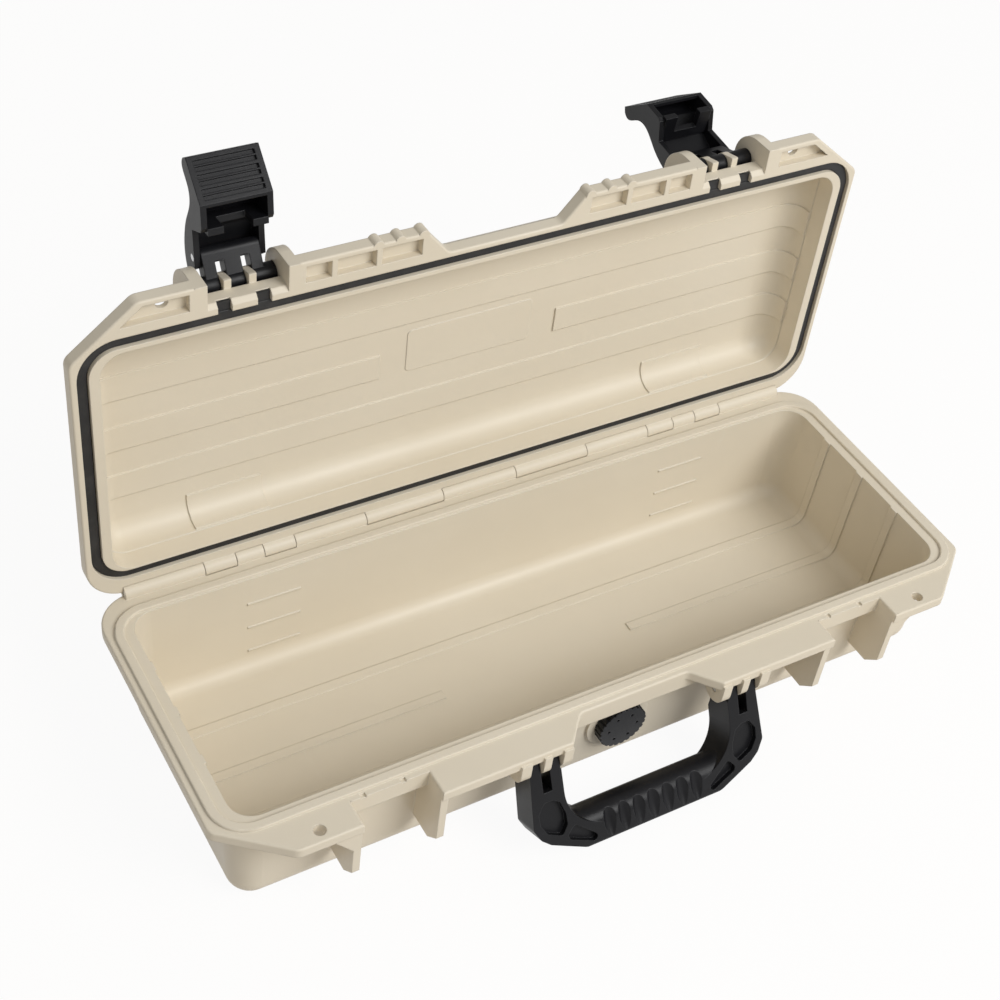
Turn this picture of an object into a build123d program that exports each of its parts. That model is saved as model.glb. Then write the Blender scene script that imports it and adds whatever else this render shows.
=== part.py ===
from build123d import *
import os
from math import cos, radians, sin, tan

# A long, shallow plastic case with a hinged lid, two over-centre latches and a folding handle.
# Millimetres, +Z up, front towards -Y, origin at the centre of the underside.
# The lid stands open, as it does when the case lies on a table.

# Main shell
base_height = 75.0  # underside to the rim face
cavity_length = 469.0  # inside, at the rim
cavity_width = 153.0
cavity_corner = 14.0
wall = 3.0
floor_thickness = 3.0
draft = 2.2  # degrees, every moulded wall
floor_fillet = 9.0

# Rim flange, shared by both halves
rim_thickness = 6.3
rim_end = 15.5  # flange beyond the cavity at each end
front_rim = 12.5  # narrow part of the flange at the front
apron_depth = 28.8  # wide part of the flange at the front
rim_corner = 24.0  # back corners
corner_cut_x = 36.8  # straight cut across the front corners
corner_cut_y = 29.8
corner_cut_round = 7.0
edge_round = 1.2
skirt_thickness = 3.5

# Seal: a tongue on the base presses the gasket in the lid's groove
seal_end = 8.8  # seal centreline beyond the cavity, at the ends
seal_front = 6.2
seal_back = 3.9
seal_corner = 19.0
tongue_width = 5.4
tongue_height = 1.7
tongue_round = 0.8
groove_width = 6.4
groove_depth = 5.0
gasket_side_gap = 0.2
gasket_gap = 0.3  # gasket to tongue, lid shut
gasket_round = 0.6
rim_gap = 0.3  # rim face to rim face, lid shut

# Hinge
hinge_setback = 18.1  # hinge axis behind the cavity
hinge_rise = 1.2  # hinge axis above the rim face
knuckle_radius = 5.0
rod_radius = 1.5
bore_gap = 0.05
loose_pin_gap = 0.08  # handle and links on their pins
knuckle_side_gap = 0.2
knuckle_relief = 0.5
seams = (25.75, 78.2, 124.8, 144.8, 162.1, 181.8)  # joints between knuckles, from the middle
barrel_half = 230.0
rod_end_gap = 1.0
open_angle = 90.7

# Lid
lid_depth = 28.0
lid_fillet = 12.0
lid_rim_thickness = 8.0
lid_mouth = 13.0  # straight, plain part of the wall at the rim

# Stiffening bands, on the floor and inside the lid
band_lines = (38.5, 4.0, -31.5)
floor_band_width = 6.0
lid_band_width = 17.0
band_height = 1.0
floor_band_break = (-65.0, 68.0)
lid_band_break = 59.5
pad_inner = 134.0
pad_outer = 180.0
pad_run = 16.0  # hinge-side pads, from the wall inwards
pad_drop = 14.0  # hinge-side pads, from the panel towards the rim
label_length = 84.0
label_width = 30.0
label_centre_y = -2.0
label_height = 0.4

# Level marks inside the back wall
mark_inner = 128.0
mark_outer = 162.0
mark_levels = (16.0, 35.5, 55.0)
mark_size = 1.4
mark_height = 0.7

# Latches
latch_centre = 153.5
bay_width = 46.0
fin_thickness = 4.5
fin_depth = 24.0  # from the cavity's front face outwards, beyond the wall
fin_bottom = 24.0
fin_cut = 9.0
lip_notches = (-15.5, 8.0)
lip_notch_width = 3.0
lip_notch_depth = 1.2
gusset_width = 13.0
gusset_drop = 16.0
lid_pin_out = 13.8  # latch pin in front of the cavity
lid_pin_up = 18.8  # latch pin above the lid's rim face
pin_radius = 2.0
link_length = 16.0
link_closed = 46.0
latch_open = {"left": (120.0, 96.0), "right": (196.0, 172.0)}  # link and lever, degrees from hanging
ear_gap = 0.4
sill_out = 15.5  # front of the lid's latch bays, from the cavity
sill_depth = 11.0
sill_bevel = 2.5
inner_ear = 4.2
inner_ear_centre = 7.0
inner_ear_out = 20.9  # front corner of the ear, from the cavity
inner_ear_land = 1.4  # flat before the ear slopes back
inner_ear_radius = 7.0
inner_ear_back = 1.5  # round end's centre, nearer the case than the pin
inner_ear_web = 3.0  # web past the centre of the round end
outer_ear = 6.7
outer_ear_inner = 22.4
outer_ear_radius = 17.3
outer_ear_up = 13.0  # ear's round part starts here
link_pin_boss = 5.5
link_end_boss = 4.0
link_slot_reach = 12.0
lever_half_width = 19.6
lever_side = 3.2
lever_skin = 2.6
lever_side_gap = 0.4
hook_from = 19.8  # hook face along the lever from its pin
hook_thickness = 4.0
hook_gap = 0.3  # hook to the lip it catches
hook_overlap = 0.4  # hook past the lip's back face
hook_split = 8.0  # half the gap between the two hook tabs
hook_web = 6.0
finger_plate = 3.0
finger_root = 9.0  # solid tail under the finger plate
finger_slots = 3
finger_pitch = 7.4
finger_slot = 5.6
finger_rib = 0.9  # fine rib along the middle of each slot
finger_slot_depth = 1.6
lever_profile = [  # outside of the lever from its pin: along, towards the case
    (-9.5, -8.0),
    (1.0, -9.9),
    (11.6, -8.1),
    (20.0, -4.7),
    (34.0, 2.0),
    (40.0, 1.0),
    (50.6, -5.6),
    (54.6, -3.6),
]
lever_tip = (56.0, -0.4)
lever_heel = (37.0, 16.0)
lever_jaw = [(24.0, 16.0), (21.5, 14.5), (17.5, 2.8), (-5.0, 3.2), (-9.0, -2.5)]

# Padlock holes
padlock_x = 198.5
padlock_out = 21.5
padlock_radius = 3.5

# Handle
handle_pivot_out = 21.8  # pivot in front of the cavity
handle_pivot_drop = 12.0  # pivot below the rim face
handle_tilt = 26.8
handle_face = 4.2  # outer face in front of the pivot
handle_depth = 18.0
prong_radius = 5.2
prong_inner = 56.7
prong_slot_inner = 63.3
prong_slot_outer = 69.1
prong_outer = 76.0
prong_slot_end = 20.0
handle_half_width = 78.0
handle_half_opening = 56.2  # at the outer face, narrower towards the case
handle_opening_draft = 6.0  # degrees
handle_opening_round = 28.0
handle_bottom = 64.2
handle_edge_round = 2.0
handle_back_round = 7.0
handle_corner_round = 4.0
handle_corner = [(78.0, 40.5), (74.0, 48.0), (68.5, 52.7), (59.0, 57.2), (44.0, 64.2)]  # across, down
prong_full = 17.0  # handle has its full depth from here down
grip_top = 42.5
grip_round = 9.5
grip_back_round = 6.0
grip_turn = 12.0  # inside radius where the grip turns up into the prongs
groove_count = 7
groove_pitch = 9.87
groove_radius = 4.6
groove_waist = 0.7  # groove is this much finer at its ends
groove_length = 17.8
groove_tilt = 9.0
groove_down = 53.4  # middle of the grooves below the pivot
groove_sink = 2.2
corner_pocket_depth = 3.5
corner_pocket_round = 2.2
corner_pockets = [  # across, down
    [
        (59.5, 29.0),
        (64.0, 26.0),
        (69.5, 26.0),
        (73.6, 32.0),
        (73.4, 39.0),
        (69.5, 45.5),
        (60.5, 50.0),
        (56.6, 44.0),
        (56.8, 37.0),
    ],
    [(52.4, 45.6), (57.2, 51.2), (56.2, 54.2), (40.5, 61.3), (38.0, 58.0)],
]
handle_gap = 0.5
lug_radius = 8.5
inner_lug = 6.0
outer_lug = 6.5

# Cut-out in both flanges above the handle
cutout_mouth = 50.2
cutout_throat = 36.0
cutout_round = 5.0
cutout_skirt_bottom = 60.0

# Pressure valve
valve_height = 40.4
valve_boss_radius = 20.5
valve_boss_proud = 1.7
valve_hole_gap = 0.2
valve_stem_radius = 7.0
valve_stem_length = 13.0
valve_flange_radius = 12.5
valve_flange = 2.6
valve_bore = 1.8
valve_spigot_radius = 6.0
valve_spigot = 1.8
valve_knob_radius = 15.5
valve_knob_height = 6.2
valve_knob_gap = 0.3
valve_notches = 24
valve_notch_radius = 0.9
valve_vents = 6
valve_vent_radius = 1.0
valve_vent_circle = 9.5
ring_centre = 10.0
ring_section = 0.9
ring_gap = 0.05
nut_flats = 20.0
nut_thickness = 5.0
nut_gap = 0.1
membrane_radius = 4.5
membrane_thickness = 0.5

# Details on the lid's front flange
flange_wall = 3.0
flange_pocket_depth = 5.0
flange_dividers = (79.0, 105.0)
divider_thickness = 3.2
bump_spots = (52.5, 66.5, 79.5)
bump_radius = 3.2
seal_notches = (-12.9, 9.1)  # gaps in the lid's latch bays, filled by lugs of the gasket
seal_notch_width = 8.0
seal_notch_depth = 4.0
seal_lug_setback = 0.6  # lug behind the front of the bay

# Places worked out from the sizes above
half_length = cavity_length / 2
half_width = cavity_width / 2
front_y = -(half_width + apron_depth)
front_rim_y = -(half_width + front_rim)
end_x = half_length + rim_end
hinge_y = half_width + hinge_setback
hinge_z = base_height + hinge_rise
handle_pivot_y = -(half_width + handle_pivot_out)
handle_pivot_z = base_height - handle_pivot_drop
lid_height = lid_depth + wall
seal_length = cavity_length + 2 * seal_end
seal_width = cavity_width + seal_front + seal_back
seal_centre_y = (seal_back - seal_front) / 2
seal_front_y = -(half_width + seal_front)
sill_y = -(half_width + sill_out)
lid_pin_y = -(half_width + lid_pin_out)
shut_lever_y = lid_pin_y - link_length * sin(radians(link_closed))
shut_lever_z = base_height + rim_gap + lid_pin_up - link_length * cos(radians(link_closed))
lip_bottom = shut_lever_z - hook_from + hook_gap
lip_back_y = front_rim_y + skirt_thickness
hook_reach = lip_back_y + hook_overlap - shut_lever_y


def drafted(distance):
    """Inset of a moulded wall at a distance below or above the rim."""
    return distance * tan(radians(draft))


# The lid's own frame: z = 0 on its rim face, swung back about the hinge.
swing = radians(open_angle)
lid_drop = hinge_rise - rim_gap
lid_frame = Plane(
    origin=(
        0,
        hinge_y - hinge_y * cos(swing) - lid_drop * sin(swing),
        hinge_z + hinge_y * sin(swing) - lid_drop * cos(swing),
    ),
    x_dir=(1, 0, 0),
    z_dir=(0, sin(swing), cos(swing)),
)


def side_plane(x):
    """Plane across the base at x, drawn in (y, z)."""
    return Plane(origin=(x, 0, 0), x_dir=(0, 1, 0), z_dir=(1, 0, 0))


def lid_side_plane(x):
    """Plane across the lid at x, drawn in the lid's own (y, z)."""
    return Plane(origin=lid_frame.from_local_coords((x, 0, 0)), x_dir=lid_frame.y_dir, z_dir=(1, 0, 0))


def hung_plane(x, y, z, angle):
    """Plane across a latch piece at a point of the lid: x runs along the piece, y towards the case."""
    along = lid_frame.y_dir * -sin(radians(angle)) + lid_frame.z_dir * -cos(radians(angle))
    return Plane(origin=lid_frame.from_local_coords((x, y, z)), x_dir=along, z_dir=(1, 0, 0))


# Space inside the base, and the same space less the height of the bands
with BuildPart() as base_space:
    with BuildSketch(Plane.XY.offset(base_height)):
        RectangleRounded(cavity_length, cavity_width, cavity_corner)
    extrude(amount=floor_thickness - base_height, taper=draft)
    fillet(base_space.faces().sort_by(Axis.Z)[0].edges(), floor_fillet)

with BuildPart() as base_core:
    with BuildSketch(Plane.XY.offset(base_height)):
        RectangleRounded(
            cavity_length - 2 * band_height,
            cavity_width - 2 * band_height,
            cavity_corner - band_height,
        )
    extrude(amount=floor_thickness + band_height - base_height, taper=draft)
    fillet(base_core.faces().sort_by(Axis.Z)[0].edges(), floor_fillet - band_height)

with BuildPart() as floor_bands:
    for line in band_lines:
        with Locations((0, line, base_height / 2)):
            Box(cavity_length + wall, floor_band_width, base_height)
    with Locations((sum(floor_band_break) / 2, band_lines[1], base_height / 2)):
        Box(
            floor_band_break[1] - floor_band_break[0],
            2 * floor_band_width,
            base_height,
            mode=Mode.SUBTRACT,
        )
    add(base_space.part, mode=Mode.INTERSECT)
    add(base_core.part, mode=Mode.SUBTRACT)


# Outline of the rim flange, front cut-outs left off
with BuildSketch() as rim_outline:
    with BuildLine():
        Polyline(
            (end_x, hinge_y),
            (-end_x, hinge_y),
            (-end_x, front_y + corner_cut_y),
            (-end_x + corner_cut_x, front_y),
            (end_x - corner_cut_x, front_y),
            (end_x, front_y + corner_cut_y),
            close=True,
        )
    make_face()
    fillet(rim_outline.vertices().group_by(Axis.Y)[-1], rim_corner)
    fillet(rim_outline.vertices().group_by(Axis.Y)[1], corner_cut_round)
    fillet(rim_outline.vertices().group_by(Axis.Y)[0], corner_cut_round)

with BuildSketch() as handle_cutout:
    with BuildLine():
        Polyline(
            (-cutout_mouth, front_y),
            (-cutout_throat, front_rim_y),
            (cutout_throat, front_rim_y),
            (cutout_mouth, front_y),
            (cutout_mouth, front_y - apron_depth),
            (-cutout_mouth, front_y - apron_depth),
            close=True,
        )
    make_face()
    fillet(handle_cutout.vertices().group_by(Axis.Y)[-1], cutout_round)

bay_spots = [
    (side * latch_centre, (front_rim_y + front_y - apron_depth) / 2) for side in (-1, 1)
]
bay_run = front_rim_y - front_y + apron_depth

# Base rim: flange with its latch bays, handle cut-out and padlock holes
with BuildPart() as base_rim:
    with BuildSketch(Plane.XY.offset(base_height)):
        add(rim_outline.sketch)
        add(handle_cutout.sketch, mode=Mode.SUBTRACT)
        with Locations(*bay_spots):
            Rectangle(bay_width, bay_run, mode=Mode.SUBTRACT)
        with Locations(*[(side * padlock_x, -(half_width + padlock_out)) for side in (-1, 1)]):
            Circle(padlock_radius, mode=Mode.SUBTRACT)
    extrude(amount=-rim_thickness)
    fillet(base_rim.faces().sort_by(Axis.Z)[-1].outer_wire().edges(), edge_round)

base_knuckles = [(-barrel_half, -seams[5]), (-seams[4], -seams[3]), (-seams[2], -seams[1])]
base_knuckles += [(-end, -start) for start, end in reversed(base_knuckles)]
base_knuckles.insert(3, (-seams[0], seams[0]))
lid_knuckles = [(-seams[5], -seams[4]), (-seams[3], -seams[2]), (-seams[1], -seams[0])]
lid_knuckles += [(-end, -start) for start, end in reversed(lid_knuckles)]

lug_spans = [
    (prong_inner - handle_gap - inner_lug, prong_inner - handle_gap),
    (prong_slot_inner + handle_gap, prong_slot_outer - handle_gap),
    (prong_outer + handle_gap, prong_outer + handle_gap + outer_lug),
]

with BuildPart() as base_shell:
    # Drafted tub
    with BuildSketch(Plane.XY.offset(base_height)):
        RectangleRounded(cavity_length + 2 * wall, cavity_width + 2 * wall, cavity_corner + wall)
    extrude(amount=-base_height, taper=draft)
    fillet(base_shell.faces().sort_by(Axis.Z)[0].edges(), floor_fillet + wall)
    add(base_rim.part)

    # Skirts below the narrow rim, at the handle cut-out and in the latch bays
    with Locations((0, front_rim_y + skirt_thickness / 2, (base_height + cutout_skirt_bottom) / 2)):
        Box(2 * cutout_mouth, skirt_thickness, base_height - cutout_skirt_bottom - 2 * edge_round)
    for side in (-1, 1):
        lip_middle = (side * latch_centre, front_rim_y + skirt_thickness / 2, (base_height + lip_bottom) / 2)
        with Locations(lip_middle):
            Box(bay_width, skirt_thickness, base_height - lip_bottom)
        for notch in lip_notches:
            with Locations((side * latch_centre + notch, front_rim_y, base_height)):
                Box(lip_notch_width, 4 * lip_notch_depth, 2 * lip_notch_depth, mode=Mode.SUBTRACT)

    # Guard fins beside each latch
    for side in (-1, 1):
        for edge in (-1, 1):
            inner = side * latch_centre + edge * bay_width / 2
            with BuildSketch(side_plane(inner)):
                with BuildLine():
                    Polyline(
                        (-half_width, base_height - rim_thickness / 2),
                        (-half_width, fin_bottom),
                        (-half_width - wall - fin_depth + fin_cut, fin_bottom),
                        (-half_width - wall - fin_depth, fin_bottom + fin_cut),
                        (-half_width - wall - fin_depth, base_height - rim_thickness / 2),
                        close=True,
                    )
                make_face()
            extrude(amount=edge * fin_thickness)

    # Small gusset outside each outer fin
    for side in (-1, 1):
        corner = side * (latch_centre + bay_width / 2 + fin_thickness)
        fin_front = Plane(origin=(0, -half_width - wall - fin_depth, 0), x_dir=(1, 0, 0), z_dir=(0, -1, 0))
        with BuildSketch(fin_front):
            with BuildLine():
                Polyline(
                    (corner, base_height - rim_thickness),
                    (corner + side * gusset_width, base_height - rim_thickness),
                    (corner, base_height - rim_thickness - gusset_drop),
                    close=True,
                )
            make_face()
        extrude(amount=-fin_thickness)

    # Handle lugs
    for start, end in lug_spans:
        for side in (-1, 1):
            with BuildSketch(side_plane(side * start)):
                with Locations((handle_pivot_y, handle_pivot_z)):
                    Circle(lug_radius)
                with Locations((handle_pivot_y, handle_pivot_z + handle_pivot_drop / 2 - rim_thickness / 4)):
                    Rectangle(2 * lug_radius, handle_pivot_drop - rim_thickness / 2)
            extrude(amount=side * (end - start))

    # Boss for the pressure valve
    valve_wall_y = -(half_width + wall - drafted(base_height - valve_height))
    valve_face_y = valve_wall_y - valve_boss_proud
    with BuildSketch(Plane(origin=(0, valve_face_y, valve_height), x_dir=(1, 0, 0), z_dir=(0, -1, 0))):
        Circle(valve_boss_radius)
    extrude(amount=-valve_boss_proud - wall)

    # Hinge knuckles
    for start, end in base_knuckles:
        with BuildSketch(side_plane(start + knuckle_side_gap)):
            with Locations((hinge_y, hinge_z)):
                Circle(knuckle_radius)
        extrude(amount=end - start - 2 * knuckle_side_gap)

    # Hollow, with its bands and level marks
    add(base_space.part, mode=Mode.SUBTRACT)
    add(floor_bands.part)
    for level in mark_levels:
        mark_wall_y = half_width - drafted(base_height - level)
        for side in (-1, 1):
            with Locations((side * (mark_inner + mark_outer) / 2, mark_wall_y, level)):
                Box(mark_outer - mark_inner, 2 * mark_height, mark_size)

    # Sealing tongue
    with BuildSketch(Plane.XY.offset(base_height)):
        with Locations((0, seal_centre_y)):
            RectangleRounded(
                seal_length + tongue_width, seal_width + tongue_width, seal_corner + tongue_width / 2
            )
            RectangleRounded(
                seal_length - tongue_width,
                seal_width - tongue_width,
                seal_corner - tongue_width / 2,
                mode=Mode.SUBTRACT,
            )
    extrude(amount=tongue_height)
    fillet(base_shell.faces().sort_by(Axis.Z).filter_by(Plane.XY)[-1].edges(), tongue_round)

    # Room for the lid's knuckles
    for start, end in lid_knuckles:
        with BuildSketch(side_plane(start)):
            with Locations((hinge_y, hinge_z)):
                Circle(knuckle_radius + knuckle_relief)
        extrude(amount=end - start, mode=Mode.SUBTRACT)

    # Bores: hinge rod, handle pins and valve stem
    with BuildSketch(side_plane(-barrel_half - rod_radius)):
        with Locations((hinge_y, hinge_z)):
            Circle(rod_radius + bore_gap)
    extrude(amount=2 * (barrel_half + rod_radius), mode=Mode.SUBTRACT)
    for side in (-1, 1):
        with BuildSketch(side_plane(side * cutout_throat)):
            with Locations((handle_pivot_y, handle_pivot_z)):
                Circle(pin_radius + bore_gap)
        extrude(amount=side * (lug_spans[2][1] + inner_lug - cutout_throat), mode=Mode.SUBTRACT)
    with BuildSketch(Plane(origin=(0, valve_face_y, valve_height), x_dir=(1, 0, 0), z_dir=(0, -1, 0))):
        Circle(valve_stem_radius + valve_hole_gap)
    extrude(amount=-valve_stem_length, mode=Mode.SUBTRACT)


# Space inside the lid, and the same space less the height of the bands
with BuildPart() as lid_space:
    with BuildSketch(lid_frame):
        RectangleRounded(cavity_length, cavity_width, cavity_corner)
    extrude(amount=lid_depth, taper=draft)
    fillet(lid_space.faces().filter_by(lid_frame).sort_by(Axis.Y)[-1].edges(), lid_fillet)

with BuildPart() as lid_core:
    with BuildSketch(lid_frame):
        RectangleRounded(
            cavity_length - 2 * band_height,
            cavity_width - 2 * band_height,
            cavity_corner - band_height,
        )
    extrude(amount=lid_depth - band_height, taper=draft)
    fillet(lid_core.faces().filter_by(lid_frame).sort_by(Axis.Y)[-1].edges(), lid_fillet - band_height)

with BuildPart() as lid_bands:
    for line in band_lines:
        with BuildSketch(lid_frame.offset(lid_mouth)):
            with Locations((0, line)):
                Rectangle(cavity_length + wall, lid_band_width)
        extrude(amount=lid_depth)
    with BuildSketch(lid_frame):
        with Locations((0, band_lines[1])):
            Rectangle(2 * lid_band_break, lid_band_width + band_height)
    extrude(amount=lid_depth + lid_mouth, mode=Mode.SUBTRACT)
    with BuildSketch(lid_frame.offset(lid_depth - pad_drop)):
        for side in (-1, 1):
            with Locations((side * (pad_inner + pad_outer) / 2, half_width - pad_run / 2)):
                Rectangle(pad_outer - pad_inner, pad_run)
    extrude(amount=pad_drop + wall)
    add(lid_space.part, mode=Mode.INTERSECT)
    add(lid_core.part, mode=Mode.SUBTRACT)

# Lid rim: flange with its latch bays, handle cut-out and padlock holes
with BuildPart() as lid_rim:
    with BuildSketch(lid_frame):
        add(rim_outline.sketch)
        add(handle_cutout.sketch, mode=Mode.SUBTRACT)
        with Locations(*bay_spots):
            Rectangle(2 * outer_ear_inner, bay_run, mode=Mode.SUBTRACT)
        with Locations(*[(side * padlock_x, -(half_width + padlock_out)) for side in (-1, 1)]):
            Circle(padlock_radius, mode=Mode.SUBTRACT)
    extrude(amount=lid_rim_thickness)
    fillet(lid_rim.faces().filter_by(lid_frame).sort_by(Axis.Y)[0].outer_wire().edges(), edge_round)
    with BuildSketch(lid_frame):
        for side in (-1, 1):
            for spot in bump_spots:
                with Locations((side * spot, front_y + edge_round)):
                    Circle(bump_radius)
    extrude(amount=lid_rim_thickness)

inner_ear_y = -(half_width + inner_ear_out)
inner_ear_back_y = lid_pin_y + inner_ear_back
outer_ear_y = front_y + outer_ear_radius
outer_ear_height = outer_ear_up + outer_ear_radius
pocket_front = front_y + flange_wall
pocket_back = front_rim_y - flange_wall
pocket_edges = [cutout_mouth + flange_wall]
for divider in flange_dividers:
    pocket_edges += [divider - divider_thickness / 2, divider + divider_thickness / 2]
pocket_edges.append(latch_centre - outer_ear_inner - outer_ear - flange_wall)
corner_slope = corner_cut_x / corner_cut_y

with BuildPart() as lid_shell:
    # Drafted tray
    with BuildSketch(lid_frame):
        RectangleRounded(cavity_length + 2 * wall, cavity_width + 2 * wall, cavity_corner + wall)
    extrude(amount=lid_height, taper=draft)
    fillet(lid_shell.faces().filter_by(lid_frame).sort_by(Axis.Y)[-1].edges(), lid_fillet + wall)
    add(lid_rim.part)

    # Ears that carry the latch pins
    for side in (-1, 1):
        for edge in (-1, 1):
            inner = side * latch_centre + edge * outer_ear_inner
            with BuildSketch(lid_side_plane(inner)):
                with Locations((outer_ear_y, outer_ear_up)):
                    Circle(outer_ear_radius)
                with Locations((outer_ear_y - outer_ear_radius / 2, outer_ear_up / 2)):
                    Rectangle(outer_ear_radius, outer_ear_up)
                with Locations(((outer_ear_y - half_width) / 2, outer_ear_height / 2)):
                    Rectangle(-half_width - outer_ear_y, outer_ear_height)
                with Locations(((front_y - half_width) / 2, outer_ear_height / 2)):
                    Rectangle(-half_width - front_y, outer_ear_height, mode=Mode.INTERSECT)
            extrude(amount=edge * outer_ear)

    # Sill between the outer ears, with the inner ears behind it
    for side in (-1, 1):
        with BuildSketch(lid_side_plane(side * latch_centre)):
            with BuildLine():
                Polyline(
                    (-half_width, 0),
                    (sill_y + sill_bevel, 0),
                    (sill_y, sill_bevel),
                    (sill_y, sill_depth),
                    (-half_width, sill_depth),
                    close=True,
                )
            make_face()
        extrude(amount=outer_ear_inner, both=True)
        for edge in (-1, 1):
            with BuildSketch(lid_side_plane(side * latch_centre + edge * inner_ear_centre)):
                with BuildLine():
                    Polyline(
                        (-half_width, sill_depth),
                        (inner_ear_y, sill_depth),
                        (inner_ear_y, sill_depth + inner_ear_land),
                        (inner_ear_back_y - inner_ear_radius, lid_pin_up),
                        (inner_ear_back_y, lid_pin_up + inner_ear_web),
                        (-half_width, lid_pin_up + inner_ear_web),
                        close=True,
                    )
                make_face()
                with Locations((inner_ear_back_y, lid_pin_up)):
                    Circle(inner_ear_radius)
            extrude(amount=inner_ear / 2, both=True)

    # Ribbed pockets under the front flange
    with BuildSketch(lid_frame):
        for side in (-1, 1):
            for start, end in zip(pocket_edges[::2], pocket_edges[1::2]):
                with Locations((side * (start + end) / 2, (pocket_front + pocket_back) / 2)):
                    Rectangle(end - start, pocket_back - pocket_front)
    extrude(amount=flange_pocket_depth, mode=Mode.SUBTRACT)
    for side in (-1, 1):
        pocket_start = latch_centre + outer_ear_inner + outer_ear + flange_wall
        front_reach = end_x - corner_cut_x - flange_wall
        with BuildSketch(lid_frame):
            with BuildLine():
                Polyline(
                    (side * pocket_start, pocket_front),
                    (side * front_reach, pocket_front),
                    (side * (front_reach + corner_slope * (pocket_back - pocket_front)), pocket_back),
                    (side * pocket_start, pocket_back),
                    close=True,
                )
            make_face()
        extrude(amount=flange_pocket_depth, mode=Mode.SUBTRACT)

    # Hollow with its bands and a blank label field
    add(lid_space.part, mode=Mode.SUBTRACT)
    with BuildSketch(lid_frame):
        RectangleRounded(cavity_length, cavity_width, cavity_corner)
    extrude(amount=lid_mouth, mode=Mode.SUBTRACT)
    add(lid_bands.part)
    with BuildSketch(lid_frame.offset(lid_depth - label_height)):
        with Locations((0, label_centre_y)):
            RectangleRounded(label_length, label_width, wall)
    extrude(amount=label_height + wall / 2)

    # Gasket groove, and the notches that show it at the latches
    with BuildSketch(lid_frame):
        with Locations((0, seal_centre_y)):
            RectangleRounded(
                seal_length + groove_width, seal_width + groove_width, seal_corner + groove_width / 2
            )
            RectangleRounded(
                seal_length - groove_width,
                seal_width - groove_width,
                seal_corner - groove_width / 2,
                mode=Mode.SUBTRACT,
            )
    extrude(amount=groove_depth, mode=Mode.SUBTRACT)
    with BuildSketch(lid_frame):
        for side in (-1, 1):
            for notch in seal_notches:
                with Locations((side * latch_centre + notch, (sill_y + seal_front_y) / 2)):
                    Rectangle(seal_notch_width, seal_front_y - sill_y)
    extrude(amount=seal_notch_depth, mode=Mode.SUBTRACT)

    # Room for the base's knuckles, then the lid's own
    for start, end in base_knuckles:
        with BuildSketch(side_plane(start)):
            with Locations((hinge_y, hinge_z)):
                Circle(knuckle_radius + knuckle_relief)
        extrude(amount=end - start, mode=Mode.SUBTRACT)
    for start, end in lid_knuckles:
        with BuildSketch(side_plane(start + knuckle_side_gap)):
            with Locations((hinge_y, hinge_z)):
                Circle(knuckle_radius)
        extrude(amount=end - start - 2 * knuckle_side_gap)

    # Bores: hinge rod and latch pins
    with BuildSketch(side_plane(-barrel_half - rod_radius)):
        with Locations((hinge_y, hinge_z)):
            Circle(rod_radius + 2 * bore_gap)
    extrude(amount=2 * (barrel_half + rod_radius), mode=Mode.SUBTRACT)
    for side in (-1, 1):
        with BuildSketch(lid_side_plane(side * latch_centre)):
            with Locations((lid_pin_y, lid_pin_up)):
                Circle(pin_radius + bore_gap)
        extrude(amount=outer_ear_inner + outer_ear + bore_gap, both=True, mode=Mode.SUBTRACT)

with BuildPart() as lid_gasket:
    with BuildSketch(lid_frame.offset(tongue_height + gasket_gap)):
        with Locations((0, seal_centre_y)):
            RectangleRounded(
                seal_length + groove_width - 2 * gasket_side_gap,
                seal_width + groove_width - 2 * gasket_side_gap,
                seal_corner + groove_width / 2 - gasket_side_gap,
            )
            RectangleRounded(
                seal_length - groove_width + 2 * gasket_side_gap,
                seal_width - groove_width + 2 * gasket_side_gap,
                seal_corner - groove_width / 2 + gasket_side_gap,
                mode=Mode.SUBTRACT,
            )
    extrude(amount=groove_depth - tongue_height - gasket_gap)
    fillet(lid_gasket.faces().filter_by(lid_frame).sort_by(Axis.Y)[0].edges(), gasket_round)
    with BuildSketch(lid_frame.offset(tongue_height + gasket_gap + gasket_round)):
        for side in (-1, 1):
            for notch in seal_notches:
                lug_front_y = sill_y + seal_lug_setback
                with Locations((side * latch_centre + notch, (lug_front_y + seal_front_y) / 2)):
                    Rectangle(seal_notch_width - 2 * gasket_side_gap, seal_front_y - lug_front_y)
    extrude(amount=seal_notch_depth - tongue_height - gasket_gap - gasket_round)

with BuildPart() as hinge_rod:
    with BuildSketch(side_plane(rod_end_gap - barrel_half)):
        with Locations((hinge_y, hinge_z)):
            Circle(rod_radius)
    extrude(amount=2 * (barrel_half - rod_end_gap))

# Latches

def build_link(origin):
    """Latch link between the lid pin and the lever pin."""
    slot_length = link_slot_reach + 2 * link_pin_boss
    with BuildPart() as link:
        with BuildSketch(origin):
            Circle(link_pin_boss)
        extrude(amount=outer_ear_inner - ear_gap, both=True)
        with BuildSketch(origin):
            with BuildLine():
                Polyline(
                    (0, link_end_boss),
                    (link_length, link_end_boss),
                    (link_length, -link_end_boss),
                    (0, -link_end_boss),
                    close=True,
                )
            make_face()
            with Locations((link_length, 0)):
                Circle(link_end_boss)
        extrude(amount=lever_half_width - lever_side - lever_side_gap, both=True)
        for edge in (-1, 1):
            with BuildSketch(origin.offset(edge * inner_ear_centre)):
                with Locations((link_slot_reach - slot_length / 2, 0)):
                    Rectangle(slot_length, slot_length)
            extrude(amount=inner_ear / 2 + ear_gap, both=True, mode=Mode.SUBTRACT)
        with BuildSketch(origin):
            Circle(pin_radius + loose_pin_gap)
            with Locations((link_length, 0)):
                Circle(pin_radius + bore_gap)
        extrude(amount=outer_ear_inner, both=True, mode=Mode.SUBTRACT)
    return link


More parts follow.
